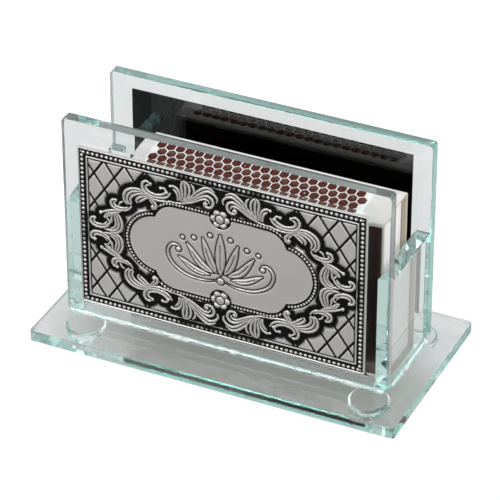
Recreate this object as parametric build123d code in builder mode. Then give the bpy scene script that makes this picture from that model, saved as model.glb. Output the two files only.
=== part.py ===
"""Glass table holder for a box of matches, with an embossed metal plaque.

Millimetres, +Z up, +X along the length, -Y towards the plaque.
The origin is the middle of the base, on the surface that the feet stand on.
"""
import os
from math import atan2, ceil, cos, degrees, hypot, pi, radians, sin

from build123d import *

# Match and matchbox, which the holder is built around
match_length = 44.0
match_side = 1.8
match_head_length = 3.0
match_head_width = 2.2
match_head_tip_width = 1.4
match_head_sides = 6
match_head_taper_share = 0.4
match_spacing = 0.15
match_end_room = 5.4
match_fill_share = 0.72

card_thickness = 0.4
card_corner_radius = 0.5
tray_clearance = 0.25
tray_recess = 1.0
matchbox_depth = 11.8
matchbox_height = 35.3
label_thickness = 0.1
label_margin = 0.3

# Striker strips with honeycomb cells
striker_sheet_thickness = 0.05
striker_cell_height = 0.1
striker_cell_pitch = 2.0
striker_cell_gap = 0.32
striker_edge_margin = 0.3
striker_left_margin = 2.7
striker_right_margin = 4.6

# Room round the matchbox
matchbox_rest_gap = 0.1
matchbox_end_gap = 0.4
matchbox_front_gap = 2.2
matchbox_back_gap = 3.7
slot_spare_length = 9.3

# Glass plates
panel_thickness = 3.0
panel_height = 44.0
panel_bevel_width = 4.0
panel_edge_thickness = 2.4
panel_corner_cut = 0.5
side_panel_thickness = 3.0
side_panel_height = 24.8
side_panel_corner_radius = 0.8
glass_arris = 0.2
base_thickness = 3.0
base_bevel_width = 3.5
base_edge_thickness = 2.35
base_corner_cut = 0.4
base_left_margin = 3.8
base_right_margin = 5.5
base_front_margin = 8.65
base_back_margin = 7.65

# Feet, glue, film and tape
foot_diameter = 8.0
foot_height = 2.2
foot_flat_diameter = 2.6
foot_sides = 20
foot_inset_x = 8.5
foot_inset_y = 8.0
glue_leg = 0.7
glue_hollow = 0.16
film_thickness = 0.3
film_left_margin = 0.05
film_right_margin = 0.75
film_top_margin = 0.1
film_bottom_margin = 0.4
tape_thickness = 0.2
tape_margin = 1.2

# Embossed plaque
plaque_side_margin = 0.15
plaque_end_margin = 0.4
plaque_drop = 0.25
plaque_thickness = 0.6
plaque_corner_radius = 0.3
border_bead_pitch = 1.0
border_bead_width = 0.8
border_bead_inset = 0.8
bead_height = 0.3
bead_top_share = 0.45
bead_sides = 4
frame_line_inset = 1.75
frame_line_width = 0.25
relief_height = 0.3
field_inset = 2.1
lattice_half_width = 2.2
lattice_half_height = 3.2
lattice_groove_width = 0.25
lattice_groove_depth = 0.15
lattice_clear_share = 0.98
cartouche_half_length_share = 0.457
cartouche_half_height_share = 0.523
cartouche_corner_share = 0.227
lobe_centre_share = 0.437
lobe_radius_share = 0.341
cartouche_rim_width = 0.3
rim_bead_width = 0.58
rim_bead_pitch = 0.72
rim_bead_offset = 0.75
rim_bead_reach_angle = 80.0
rosette_radius = 2.1
rosette_petals = 8
rosette_petal_radius = 0.66
rosette_petal_sides = 6
rosette_eye_radius = 0.95
rosette_eye_height = 0.25
rosette_eye_slope = 45.0

# The two rounding cuts of a foot, from the outside in: how far each reaches in, as a share of the
# way from the rim to the flat, and how far up, as a share of the foot's height
foot_cut_shares = [(0.63, 0.55), (0.37, 0.14)]

# Where a leaf blade's outline has its points between the two tips, as shares of its length
blade_step_shares = (0.2, 0.5, 0.8)

# Leaf blades of one quarter of the scrollwork, as shares of the plaque's half length and half height:
# start, middle and end of the blade's spine, then its width as a share of the half height
blade_shares = [
    ((0.338, 0.597), (0.199, 0.722), (0.053, 0.830), 0.045),
    ((0.205, 0.705), (0.096, 0.778), (0.063, 0.659), 0.034),
    ((0.278, 0.636), (0.219, 0.761), (0.262, 0.890), 0.045),
    ((0.288, 0.625), (0.298, 0.733), (0.351, 0.790), 0.034),
    ((0.536, 0.761), (0.483, 0.625), (0.351, 0.693), 0.051),
    ((0.526, 0.625), (0.649, 0.580), (0.656, 0.432), 0.051),
    ((0.510, 0.585), (0.593, 0.563), (0.619, 0.466), 0.040),
    ((0.503, 0.574), (0.447, 0.528), (0.474, 0.443), 0.034),
    ((0.755, 0.438), (0.725, 0.335), (0.623, 0.403), 0.045),
    ((0.702, 0.307), (0.775, 0.278), (0.848, 0.227), 0.028),
    ((0.722, 0.284), (0.702, 0.148), (0.748, 0.023), 0.040),
    ((0.901, 0.153), (0.881, 0.045), (0.785, 0.136), 0.045),
]

# Sizes that follow from the ones above
tray_end_wall = 2 * card_thickness
tray_length = match_length + match_end_room + 2 * tray_end_wall
matchbox_length = tray_length + 2 * tray_recess
striker_thickness = striker_sheet_thickness + striker_cell_height
sleeve_height = matchbox_height - 2 * striker_thickness
sleeve_depth = matchbox_depth - label_thickness
tray_height = sleeve_height - 2 * card_thickness - 2 * tray_clearance
tray_depth = sleeve_depth - 2 * card_thickness - 2 * tray_clearance
slot_length = matchbox_length + matchbox_end_gap + slot_spare_length
slot_depth = matchbox_depth + matchbox_front_gap + matchbox_back_gap
panel_length = slot_length + 2 * side_panel_thickness
base_length = panel_length + base_left_margin + base_right_margin
base_depth = slot_depth + 2 * panel_thickness + base_front_margin + base_back_margin
base_top = foot_height + base_thickness

# Places
panel_left = base_left_margin - base_length / 2
panel_right = panel_left + panel_length
panel_centre_x = (panel_left + panel_right) / 2
front_panel_face = base_front_margin - base_depth / 2
front_panel_rear = front_panel_face + panel_thickness
back_panel_front = front_panel_rear + slot_depth
back_panel_face = back_panel_front + panel_thickness
slot_centre_y = (front_panel_rear + back_panel_front) / 2
panel_centre_z = base_top + panel_height / 2
matchbox_right = panel_right - side_panel_thickness - matchbox_end_gap
matchbox_centre_x = matchbox_right - matchbox_length / 2
matchbox_front = front_panel_rear + matchbox_front_gap
sleeve_centre_y = matchbox_front + label_thickness + sleeve_depth / 2
sleeve_bottom = base_top + matchbox_rest_gap + striker_thickness
sleeve_centre_z = sleeve_bottom + sleeve_height / 2

os.makedirs("parts", exist_ok=True)


def front_plane(x, y, z):
    """A plane that faces the viewer in front, with its own Y axis up."""
    return Plane(origin=(x, y, z), x_dir=(1, 0, 0), z_dir=(0, -1, 0))


def rear_plane(x, y, z):
    """A plane that faces backwards, with its own Y axis up."""
    return Plane(origin=(x, y, z), x_dir=(-1, 0, 0), z_dir=(0, 1, 0))


def save(part, name):
    """Label a finished piece and write it under its own name."""
    part.label = name
    export_step(part, f"parts/{name}.step")


def bevelled_plate(plane, length, width, thickness, bevel, edge, corner):
    """A glass plate with a mitred bevel round its outer face and its four corners taken off."""
    with BuildPart() as plate:
        with BuildSketch(plane):
            Rectangle(length, width)
        extrude(amount=edge)
        with BuildSketch(plane.offset(edge)):
            Rectangle(length, width)
        with BuildSketch(plane.offset(thickness)):
            Rectangle(length - 2 * bevel, width - 2 * bevel)
        loft(ruled=True)
        with BuildSketch(plane) as outline:
            Rectangle(length, width)
            chamfer(outline.vertices(), length=corner)
        extrude(amount=thickness, mode=Mode.INTERSECT)
    return plate.part


# Base plate, bevelled on its top
save(
    bevelled_plate(
        Plane.XY.offset(foot_height), base_length, base_depth, base_thickness,
        base_bevel_width, base_edge_thickness, base_corner_cut,
    ),
    "base_plate",
)

# Front and back panels, bevelled on their outer faces
save(
    bevelled_plate(
        front_plane(panel_centre_x, front_panel_rear, panel_centre_z), panel_length, panel_height,
        panel_thickness, panel_bevel_width, panel_edge_thickness, panel_corner_cut,
    ),
    "front_panel",
)
save(
    bevelled_plate(
        rear_plane(panel_centre_x, back_panel_front, panel_centre_z), panel_length, panel_height,
        panel_thickness, panel_bevel_width, panel_edge_thickness, panel_corner_cut,
    ),
    "back_panel",
)

# Side panels, which close the ends of the slot between front and back
side_panels = {
    "left_side_panel": panel_left + side_panel_thickness / 2,
    "right_side_panel": panel_right - side_panel_thickness / 2,
}
for name, side_x in side_panels.items():
    with BuildPart() as side_panel:
        with BuildSketch(Plane.YZ.offset(side_x)):
            with Locations((slot_centre_y, base_top + side_panel_height / 2)):
                Rectangle(slot_depth, side_panel_height)
        extrude(amount=side_panel_thickness / 2, both=True)
        back_top_edge = side_panel.edges().filter_by(Axis.X).group_by(Axis.Z)[-1].sort_by(Axis.Y)[-1]
        fillet(back_top_edge, radius=side_panel_corner_radius)
        chamfer(side_panel.edges().filter_by(Axis.Y).group_by(Axis.Z)[-1], length=glass_arris)
    save(side_panel.part, name)


def glue_bead(plane, length, lean):
    """A hollow-faced strip of clear adhesive in the corner between the base and a panel.

    The plane's X axis points away from the panel and its Y axis up, and lean is how far the
    panel's face leans outwards over the height of the strip.
    """
    with BuildPart() as bead:
        with BuildSketch(plane):
            with BuildLine():
                Polyline((lean, glue_leg), (0, 0), (glue_leg, 0))
                hollow = (glue_leg / 2 - glue_hollow / 2, glue_leg / 2 - glue_hollow)
                ThreePointArc((glue_leg, 0), hollow, (lean, glue_leg))
            make_face()
        extrude(amount=length / 2, both=True)
    return bead.part


# Adhesive strips along the outer feet of the four upright panels
bevel_lean = glue_leg * (panel_thickness - panel_edge_thickness) / panel_bevel_width
panel_strip_length = panel_length - 2 * panel_corner_cut
front_edge = front_panel_rear - panel_edge_thickness
back_edge = back_panel_front + panel_edge_thickness
glue_seats = {
    "glue_bead_front": ((panel_centre_x, front_edge, base_top), (0, -1, 0), panel_strip_length, bevel_lean),
    "glue_bead_back": ((panel_centre_x, back_edge, base_top), (0, 1, 0), panel_strip_length, bevel_lean),
    "glue_bead_left": ((panel_left, slot_centre_y, base_top), (-1, 0, 0), slot_depth, 0),
    "glue_bead_right": ((panel_right, slot_centre_y, base_top), (1, 0, 0), slot_depth, 0),
}
for name, (seat, outward, length, lean) in glue_seats.items():
    seat_plane = Plane(origin=seat, x_dir=outward, z_dir=Vector(outward).cross(Vector(0, 0, 1)))
    save(glue_bead(seat_plane, length, lean), name)

# Four clear dome feet under the base, many-sided and rounded off by two cuts
foot_x = base_length / 2 - foot_inset_x
foot_y = base_depth / 2 - foot_inset_y
foot_places = {
    "foot_front_left": (-foot_x, -foot_y),
    "foot_front_right": (foot_x, -foot_y),
    "foot_back_left": (-foot_x, foot_y),
    "foot_back_right": (foot_x, foot_y),
}
for name, (x, y) in foot_places.items():
    rim_radius = foot_diameter / 2
    flat_radius = foot_flat_diameter / 2
    with BuildPart() as foot:
        with BuildSketch():
            with Locations((x, y)):
                RegularPolygon(rim_radius, foot_sides)
        extrude(amount=foot_height)
        for reach_share, rise_share in foot_cut_shares:
            underside = foot.faces().sort_by(Axis.Z)[0]
            reach = reach_share * (rim_radius - flat_radius)
            chamfer(underside.edges(), length=reach, length2=rise_share * foot_height, reference=underside)
    save(foot.part, name)

# Black film on the flat of the back panel's rear face
film_left = panel_left + panel_bevel_width + film_left_margin
film_right = panel_right - panel_bevel_width - film_right_margin
film_bottom = base_top + panel_bevel_width + film_bottom_margin
film_top = base_top + panel_height - panel_bevel_width - film_top_margin
film_plane = rear_plane((film_left + film_right) / 2, back_panel_face, (film_bottom + film_top) / 2)
with BuildPart() as back_film:
    with BuildSketch(film_plane):
        Rectangle(film_right - film_left, film_top - film_bottom)
    extrude(amount=film_thickness)
save(back_film.part, "back_film")

# Plaque and the double-sided tape that holds it to the front panel's flat
plaque_length = panel_length - 2 * panel_bevel_width - 2 * plaque_side_margin
plaque_height = panel_height - 2 * panel_bevel_width - 2 * plaque_end_margin
plaque_centre_z = panel_centre_z - plaque_drop
half_length = plaque_length / 2
half_height = plaque_height / 2
with BuildPart() as plaque_tape:
    with BuildSketch(front_plane(panel_centre_x, front_panel_face, plaque_centre_z)):
        Rectangle(plaque_length - 2 * tape_margin, plaque_height - 2 * tape_margin)
    extrude(amount=tape_thickness)
save(plaque_tape.part, "plaque_tape")

cartouche_half_length = cartouche_half_length_share * half_length
cartouche_half_height = cartouche_half_height_share * half_height
cartouche_corner = cartouche_corner_share * half_height
lobe_centre = lobe_centre_share * half_length
lobe_radius = lobe_radius_share * half_height
rosette_places = [(0, -cartouche_half_height), (0, cartouche_half_height)]


def spread(first, last, pitch):
    """Evenly spaced places from first to last, about one pitch apart."""
    steps = max(1, round(abs(last - first) / pitch))
    return [first + (last - first) * step / steps for step in range(steps + 1)]


def border_bead_places():
    """Centres of the beads round the plaque's edge."""
    reach_x = half_length - border_bead_inset
    reach_y = half_height - border_bead_inset
    rows = [(x, y) for x in spread(-reach_x, reach_x, border_bead_pitch) for y in (-reach_y, reach_y)]
    ends = spread(-reach_y, reach_y, border_bead_pitch)[1:-1]
    return rows + [(x, y) for y in ends for x in (-reach_x, reach_x)]


def rim_bead_places():
    """Centres of the beads that follow the cartouche, outside its rim."""
    row_height = cartouche_half_height + rim_bead_offset
    row_end = cartouche_half_length - cartouche_corner / 2
    row_start = rosette_radius + rim_bead_width
    ring_radius = lobe_radius + rim_bead_offset
    ring_end = radians(rim_bead_reach_angle)
    places = []
    for side in (-1, 1):
        for x in spread(row_start, row_end, rim_bead_pitch):
            places += [(side * x, row_height), (side * x, -row_height)]
        for angle in spread(-ring_end, ring_end, rim_bead_pitch / ring_radius):
            places.append((side * (lobe_centre + ring_radius * cos(angle)), ring_radius * sin(angle)))
    return places


def stud(radius, sides, height, slope):
    """One raised stud with flat sides that lean in by the slope, in degrees."""
    with BuildPart() as raised:
        with BuildSketch():
            RegularPolygon(radius, sides)
        extrude(amount=height, taper=slope)
    return raised.part


def bead(width):
    """One raised bead, narrower at its top."""
    slope = degrees(atan2(width / 2 * (1 - bead_top_share), bead_height))
    return stud(width / 2, bead_sides, bead_height, slope)


def blade_face(start, middle, end, width):
    """A leaf blade along an arc: pointed at both ends and widest at its middle, in short straight runs."""
    with BuildSketch() as blade:
        with BuildLine():
            spine = ThreePointArc(start, middle, end, mode=Mode.PRIVATE)
            upper, lower = [], []
            for share in blade_step_shares:
                swell = (spine % share).rotate(Axis.Z, 90) * (width / 2 * sin(pi * share))
                upper.append(spine @ share + swell)
                lower.append(spine @ share - swell)
            Polyline(spine @ 0, *upper, spine @ 1, *reversed(lower), close=True)
        make_face()
    return blade.sketch_local


def cartouche_outline(grow):
    """A rounded oblong with a round lobe at each end."""
    outline_corner = cartouche_corner + grow
    RectangleRounded(2 * (cartouche_half_length + grow), 2 * (cartouche_half_height + grow), outline_corner)
    with Locations((-lobe_centre, 0), (lobe_centre, 0)):
        Circle(lobe_radius + grow)


border_bead = bead(border_bead_width)
rim_bead = bead(rim_bead_width)
rosette_eye = stud(rosette_eye_radius, rosette_petals, rosette_eye_height, rosette_eye_slope)
plaque_back = front_panel_face - tape_thickness
plaque_plane = front_plane(panel_centre_x, plaque_back, plaque_centre_z)
ground_plane = plaque_plane.offset(plaque_thickness)
with BuildPart() as plaque:
    with BuildSketch(plaque_plane):
        RectangleRounded(plaque_length, plaque_height, plaque_corner_radius)
    extrude(amount=plaque_thickness)

    # Latticed corner fields, cut as crossing grooves
    field_half_length = half_length - field_inset
    field_half_height = half_height - field_inset
    groove_angle = degrees(atan2(lattice_half_height, lattice_half_width))
    groove_count = ceil((field_half_length + field_half_height) / (2 * lattice_half_width))
    groove_length = plaque_height * hypot(lattice_half_width, lattice_half_height) / lattice_half_height
    with BuildSketch(ground_plane):
        with Locations(*[(2 * lattice_half_width * (n + 0.5), 0) for n in range(-groove_count, groove_count)]):
            Rectangle(groove_length, lattice_groove_width, rotation=groove_angle)
            Rectangle(groove_length, lattice_groove_width, rotation=-groove_angle)
        Rectangle(2 * field_half_length, 2 * field_half_height, mode=Mode.INTERSECT)
        Ellipse(lattice_clear_share * half_length, lattice_clear_share * half_height, mode=Mode.SUBTRACT)
    extrude(amount=-lattice_groove_depth, mode=Mode.SUBTRACT)

    # Frame line inside the beads, and the rim of the cartouche
    with BuildSketch(ground_plane):
        Rectangle(2 * (half_length - frame_line_inset), 2 * (half_height - frame_line_inset))
        line_inner = frame_line_inset + frame_line_width
        Rectangle(2 * (half_length - line_inner), 2 * (half_height - line_inner), mode=Mode.SUBTRACT)
        cartouche_outline(cartouche_rim_width)
    extrude(amount=relief_height / 2)

    # Scrollwork blades, the same in all four quarters, and two rosettes
    petal_ring = rosette_radius - rosette_petal_radius
    with BuildSketch(ground_plane):
        for side_x in (-half_length, half_length):
            for side_y in (-half_height, half_height):
                for start, middle, end, width_share in blade_shares:
                    spine = [(side_x * u, side_y * v) for u, v in (start, middle, end)]
                    add(blade_face(*spine, width_share * half_height))
        with Locations(*rosette_places):
            RegularPolygon(petal_ring, rosette_petals)
            with PolarLocations(petal_ring, rosette_petals):
                RegularPolygon(rosette_petal_radius, rosette_petal_sides)
    extrude(amount=relief_height)

    # Eyes of the rosettes, and beads round the edge and along the cartouche
    with Locations(*[ground_plane.location * Pos(x, y, relief_height) for x, y in rosette_places]):
        add(rosette_eye)
    with Locations(*[ground_plane.location * Pos(x, y) for x, y in border_bead_places()]):
        add(border_bead)
    with Locations(*[ground_plane.location * Pos(x, y) for x, y in rim_bead_places()]):
        add(rim_bead)
save(plaque.part, "plaque")

# Matchbox sleeve, a folded card tube that is open at both ends
with BuildPart() as matchbox_sleeve:
    with BuildSketch(Plane.YZ.offset(matchbox_centre_x)):
        with Locations((sleeve_centre_y, sleeve_centre_z)):
            RectangleRounded(sleeve_depth, sleeve_height, card_corner_radius)
            inner_radius = card_corner_radius / 2
            inner_depth = sleeve_depth - 2 * card_thickness
            inner_height = sleeve_height - 2 * card_thickness
            RectangleRounded(inner_depth, inner_height, inner_radius, mode=Mode.SUBTRACT)
    extrude(amount=matchbox_length / 2, both=True)
save(matchbox_sleeve.part, "matchbox_sleeve")

# Bare printed label on the sleeve's front
label_inset = card_corner_radius + label_margin
with BuildPart() as front_label:
    with BuildSketch(front_plane(matchbox_centre_x, matchbox_front + label_thickness, sleeve_centre_z)):
        Rectangle(matchbox_length - 2 * label_margin, sleeve_height - 2 * label_inset)
    extrude(amount=label_thickness)
save(front_label.part, "front_label")

# Striker strips on the sleeve's two narrow sides. The lower one lies under the box, and is left plain.
strip_width = sleeve_depth - 2 * card_corner_radius - 2 * striker_edge_margin
strip_length = matchbox_length - striker_left_margin - striker_right_margin
cell_width = striker_cell_pitch - striker_cell_gap
hexagon_half_angle = 30
row_pitch = striker_cell_pitch * cos(radians(hexagon_half_angle))
cell_height = cell_width / cos(radians(hexagon_half_angle))
row_count = int((strip_width - cell_height) / row_pitch) + 1
column_count = int((strip_length - cell_width - striker_cell_pitch / 2) / striker_cell_pitch) + 1
strip_centre_x = matchbox_centre_x + (striker_left_margin - striker_right_margin) / 2


cell_places = []
for row in range(row_count):
    stagger = (row % 2 - 0.5) * striker_cell_pitch / 2
    for column in range(column_count):
        x = (column - (column_count - 1) / 2) * striker_cell_pitch + stagger
        cell_places.append((x, (row - (row_count - 1) / 2) * row_pitch))

top_seat = Plane(origin=(strip_centre_x, sleeve_centre_y, sleeve_bottom + sleeve_height))
with BuildPart() as striker_top:
    with BuildSketch(top_seat):
        Rectangle(strip_length, strip_width)
    extrude(amount=striker_sheet_thickness)
    with BuildSketch(top_seat.offset(striker_sheet_thickness)):
        with Locations(*cell_places):
            RegularPolygon(cell_height / 2, 6, rotation=hexagon_half_angle)
    extrude(amount=striker_cell_height)
save(striker_top.part, "striker_top")

with BuildPart() as striker_bottom:
    with BuildSketch(Plane(origin=(strip_centre_x, sleeve_centre_y, sleeve_bottom))):
        Rectangle(strip_length, strip_width)
    extrude(amount=-striker_thickness)
save(striker_bottom.part, "striker_bottom")

# Tray, which stands on its long side and opens towards the front
tray_back = sleeve_centre_y + tray_depth / 2
tray_front = tray_back - tray_depth
with BuildPart() as match_tray:
    with BuildSketch(front_plane(matchbox_centre_x, tray_back, sleeve_centre_z)):
        Rectangle(tray_length, tray_height)
    extrude(amount=tray_depth)
    with BuildSketch(front_plane(matchbox_centre_x, tray_back - card_thickness, sleeve_centre_z)):
        Rectangle(tray_length - 2 * tray_end_wall, tray_height - 2 * card_thickness)
    extrude(amount=tray_depth, mode=Mode.SUBTRACT)
save(match_tray.part, "match_tray")

# Matches, stacked in the lower part of the tray with their heads to the left
match_pitch = match_head_width + match_spacing
tray_floor_z = sleeve_centre_z - tray_height / 2 + card_thickness
tray_room_z = tray_height - 2 * card_thickness
tray_room_y = tray_depth - card_thickness
match_layers = int(tray_room_y / match_pitch)
match_rows = int(match_fill_share * tray_room_z / match_pitch)
match_tip_x = matchbox_centre_x - match_length / 2
match_places = []
for layer in range(match_layers):
    for row in range(match_rows):
        match_y = tray_back - card_thickness - match_spacing / 2 - (layer + 0.5) * match_pitch
        match_z = tray_floor_z + match_spacing / 2 + (row + 0.5) * match_pitch
        match_places.append((match_y, match_z))

stick_start_x = match_tip_x + match_head_length
with BuildPart() as match_sticks:
    with BuildSketch(Plane.YZ.offset(stick_start_x)):
        with Locations(*match_places):
            Rectangle(match_side, match_side)
    extrude(amount=match_length - match_head_length)
save(match_sticks.part, "match_sticks")

with BuildPart() as match_head:
    with BuildSketch(Plane.YZ):
        RegularPolygon(match_head_width / 2, match_head_sides)
    extrude(amount=match_head_length)
    for end in match_head.faces().filter_by(Axis.X):
        draw_in = (match_head_width - match_head_tip_width) / 2 * cos(pi / match_head_sides)
        taper_length = match_head_taper_share * match_head_length
        chamfer(end.edges(), length=draw_in, length2=taper_length, reference=end)
with BuildPart() as match_heads:
    with Locations(*[(match_tip_x, y, z) for y, z in match_places]):
        add(match_head.part)
save(match_heads.part, "match_heads")
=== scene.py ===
"""Looks for the glass matchbox holder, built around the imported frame. Metres, +Z up, -Y is the front."""
from math import cos, pi, radians, sin

import bmesh
import bpy
import numpy as np
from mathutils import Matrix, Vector


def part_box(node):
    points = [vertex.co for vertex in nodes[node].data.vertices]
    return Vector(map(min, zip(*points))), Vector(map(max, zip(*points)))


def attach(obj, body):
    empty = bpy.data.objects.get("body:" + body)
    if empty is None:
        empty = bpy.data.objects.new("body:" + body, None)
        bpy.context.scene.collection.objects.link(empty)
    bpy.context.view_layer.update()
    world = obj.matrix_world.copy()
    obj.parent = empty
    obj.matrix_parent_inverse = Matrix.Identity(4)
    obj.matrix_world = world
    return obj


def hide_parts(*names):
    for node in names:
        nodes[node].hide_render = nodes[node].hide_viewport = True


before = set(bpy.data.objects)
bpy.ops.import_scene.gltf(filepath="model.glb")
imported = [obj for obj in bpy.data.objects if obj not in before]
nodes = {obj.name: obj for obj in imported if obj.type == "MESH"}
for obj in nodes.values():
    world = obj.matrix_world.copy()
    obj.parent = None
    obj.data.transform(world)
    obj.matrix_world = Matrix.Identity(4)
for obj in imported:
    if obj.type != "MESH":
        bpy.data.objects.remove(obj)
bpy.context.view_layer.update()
mm = 0.001

# Camera, fitted to the photograph's 500 x 500 frame
camera_place = (0.21497, -0.45849, 0.34973)
camera_turn = 25.15
camera_dip = 32.88
camera_lens, camera_sensor = 223.08, 36

# World: its light in general and from the right, and between which directions it grows
world_light, world_right = 0.7, 2.4
world_grade = (0.2, 0.9)

# Lamps: name, place, the point it faces, size and power
lamps = [
    ("key", (-0.5, -0.5, 0.9), (0, 0, 0.02), (0.5, 0.5), 1.9),
    ("top", (0.1, 0.3, 1.0), (0, 0, 0.02), (0.8, 0.5), 0.8),
    ("front", (-0.24, -0.7, 0.13), (0, 0, 0.03), (0.6, 0.22), 3.2),
]

# Floor: its size and depth below the feet, its colour beneath the holder, darkened as a painted shadow,
# which fades into the colour around it, and a painted dark shade in front of a soft edge
floor_size = 4.0
floor_drop = 0.05 * mm
floor_painted_shadow, floor_around = (0.40, 0.405, 0.38), (0.73, 0.735, 0.735)
painted_shadow_middle, painted_shadow_reach = (8 * mm, -10 * mm), (46 * mm, 23 * mm)
painted_shadow_fade = (0.15, 1.2)
floor_front_painted_shade, floor_front_painted_shade_edge = (0.42, 0.42, 0.42), (-21 * mm, -13 * mm)

# The plain tone that stands in for the floor: its colour in front, near black, a painted dark shade, and
# for rays straight from the camera, through glass and off a gloss, its share and how bright it is
floor_front_painted_shade_plain = (0.01, 0.01, 0.01)
floor_tones = [(0.7, 1.3), (0.6, 1.1), (0.97, 1.3)]

# Glass: how far apart two vertices may be that are one, how far a bonded face sinks in, how wide the
# ground arrises are and at what angle of an edge, and how far a piece that touches the glass stands off
weld = 0.002 * mm
bond_depth = 0.02 * mm
arris_width, arris_angle = 0.2 * mm, radians(30)
air_gap = 0.02 * mm

# How often light may bounce in glass, the index of glass, adhesive and feet (low, so that they show
# only faintly), the roughness of a fully ground face, how far arrises and polished edges are ground,
# where 1 is fully, and the green that light takes on in the glass
glass_bounces = 40
glass_index, glue_index, foot_index = 1.52, 1.48, 1.18
ground_rough, ground_arris, ground_edge = 0.5, 0.4, 0.14
glass_green, glass_density = (0.34, 0.77, 0.71), 20.0

# Feet: how many sides and rings the turned domes have, and their flat's share of the width
foot_turns, foot_rings, foot_flat_share = 64, 12, 0.32

# Matchbox: the card, the depth within which a face counts as on its outside, the striker's cells, and
# the matches' pitch in the tray
card_thickness, card_skin = 0.4 * mm, 0.03 * mm
cell_pitch, cell_gap, cell_height = 2.0 * mm, 0.32 * mm, 0.1 * mm
match_pitch = 2.35 * mm


# Small helpers for meshes and materials

def link_object(name, data):
    """A new object in the scene."""
    thing = bpy.data.objects.new(name, data)
    bpy.context.scene.collection.objects.link(thing)
    return thing


def mesh_object(name, vertices, faces):
    """A new flat-faced mesh object from plain lists."""
    mesh = bpy.data.meshes.new(name)
    mesh.from_pydata(vertices, [], faces)
    mesh.validate()
    return link_object(name, mesh)


def dress(name, material):
    """Give a CAD node its material."""
    slots = nodes[name].data.materials
    slots.clear()
    slots.append(material)


class Look:
    """A material with its node tree, and short calls to add nodes to it."""

    def __init__(self, name):
        self.material = bpy.data.materials.new(name)
        self.material.use_nodes = True
        self.tree = self.material.node_tree
        self.surface = self.tree.nodes["Principled BSDF"]
        self.output = self.tree.nodes["Material Output"]

    def add(self, kind, inputs=None, **settings):
        """Add a node, set its properties, and set or link its inputs."""
        node = self.tree.nodes.new(kind)
        for key, value in settings.items():
            setattr(node, key, value)
        for key, value in (inputs or {}).items():
            self.put(node, key, value)
        return node

    def put(self, node, key, value):
        """Set one input of a node to a number or colour, or link a socket to it."""
        if isinstance(value, bpy.types.NodeSocket):
            self.tree.links.new(value, node.inputs[key])
        elif isinstance(value, tuple) and len(value) == 3 and node.inputs[key].type == "RGBA":
            node.inputs[key].default_value = (*value, 1.0)
        else:
            node.inputs[key].default_value = value

    def set(self, **values):
        """Set inputs of the main shader, with underscores for spaces."""
        for key, value in values.items():
            self.put(self.surface, key.replace("_", " "), value)

    def place(self):
        """Object coordinates, in metres."""
        return self.add("ShaderNodeTexCoord").outputs["Object"]

    def axes(self):
        """The three object coordinates, each by itself."""
        return tuple(self.add("ShaderNodeSeparateXYZ", {0: self.place()}).outputs)

    def attribute(self, name):
        """A number stored on the mesh."""
        return self.add("ShaderNodeAttribute", attribute_name=name).outputs["Fac"]

    def math(self, operation, first, second=0.0, third=0.0, clamp=False):
        """One math node's result."""
        inputs = {0: first, 1: second, 2: third}
        return self.add("ShaderNodeMath", inputs, operation=operation, use_clamp=clamp).outputs[0]

    def vector(self, operation, first, second=(0.0, 0.0, 0.0)):
        """One vector math node's result."""
        return self.add("ShaderNodeVectorMath", {0: first, 1: second}, operation=operation).outputs[0]

    def off_centre(self, coordinate, low, high):
        """How far a coordinate lies outside low to high: negative inside."""
        gap = self.math("ABSOLUTE", self.math("SUBTRACT", coordinate, (low + high) / 2))
        return self.math("SUBTRACT", gap, (high - low) / 2)

    def off_face(self, low, high):
        """How far a place lies outside a box, seen from the front: negative inside."""
        along, _, up = self.axes()
        off_ends = self.off_centre(along, low[0], high[0])
        return self.math("MAXIMUM", off_ends, self.off_centre(up, low[2], high[2]))

    def ramp(self, value, low, high, start=0.0, end=1.0):
        """A smooth step of a value from low to high."""
        inputs = {0: value, 1: low, 2: high, 3: start, 4: end}
        return self.add("ShaderNodeMapRange", inputs, interpolation_type="SMOOTHSTEP").outputs[0]

    def noise(self, scale, detail=4, roughness=0.5, stretch=(1, 1, 1), turn=(0, 0, 0)):
        """Noise by place, its scale in cycles per metre, turned and then stretched along each axis."""
        inputs = {"Vector": self.place(), "Rotation": turn}
        turned = self.add("ShaderNodeVectorRotate", inputs, rotation_type="EULER_XYZ").outputs[0]
        squeezed = self.add("ShaderNodeMapping", {"Vector": turned, "Scale": stretch}).outputs[0]
        inputs = {"Vector": squeezed, "Scale": scale, "Detail": detail, "Roughness": roughness}
        return self.add("ShaderNodeTexNoise", inputs).outputs[0]

    def cells(self, scale):
        """Distance from the nearest of many scattered points, their scale in cycles per metre."""
        inputs = {"Vector": self.place(), "Scale": scale}
        return self.add("ShaderNodeTexVoronoi", inputs).outputs["Distance"]

    def mix(self, share, first, second):
        """A colour between two colours."""
        return self.add("ShaderNodeMix", {0: share, 6: first, 7: second}, data_type="RGBA").outputs[2]

    def mix_in(self, share, other):
        """Mix the main shader with another one, which takes over where share is 1."""
        inputs = {0: share, 1: self.surface.outputs[0], 2: other.outputs[0]}
        self.put(self.output, "Surface", self.add("ShaderNodeMixShader", inputs).outputs[0])

    def bump(self, height, strength, distance):
        """Bump from a height, linked to the main shader."""
        inputs = {"Height": height, "Strength": strength, "Distance": distance}
        self.put(self.surface, "Normal", self.add("ShaderNodeBump", inputs).outputs[0])
        return self


# Camera, floor and lights

def make_camera():
    """The photograph's camera."""
    camera = link_object("camera", bpy.data.cameras.new("camera"))
    camera.location = camera_place
    camera.rotation_euler = (radians(90 - camera_dip), 0, radians(camera_turn))
    camera.data.sensor_fit = "HORIZONTAL"
    camera.data.sensor_width = camera_sensor
    camera.data.lens = camera_lens
    camera.data.clip_start = 0.01
    bpy.context.scene.camera = camera


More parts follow.
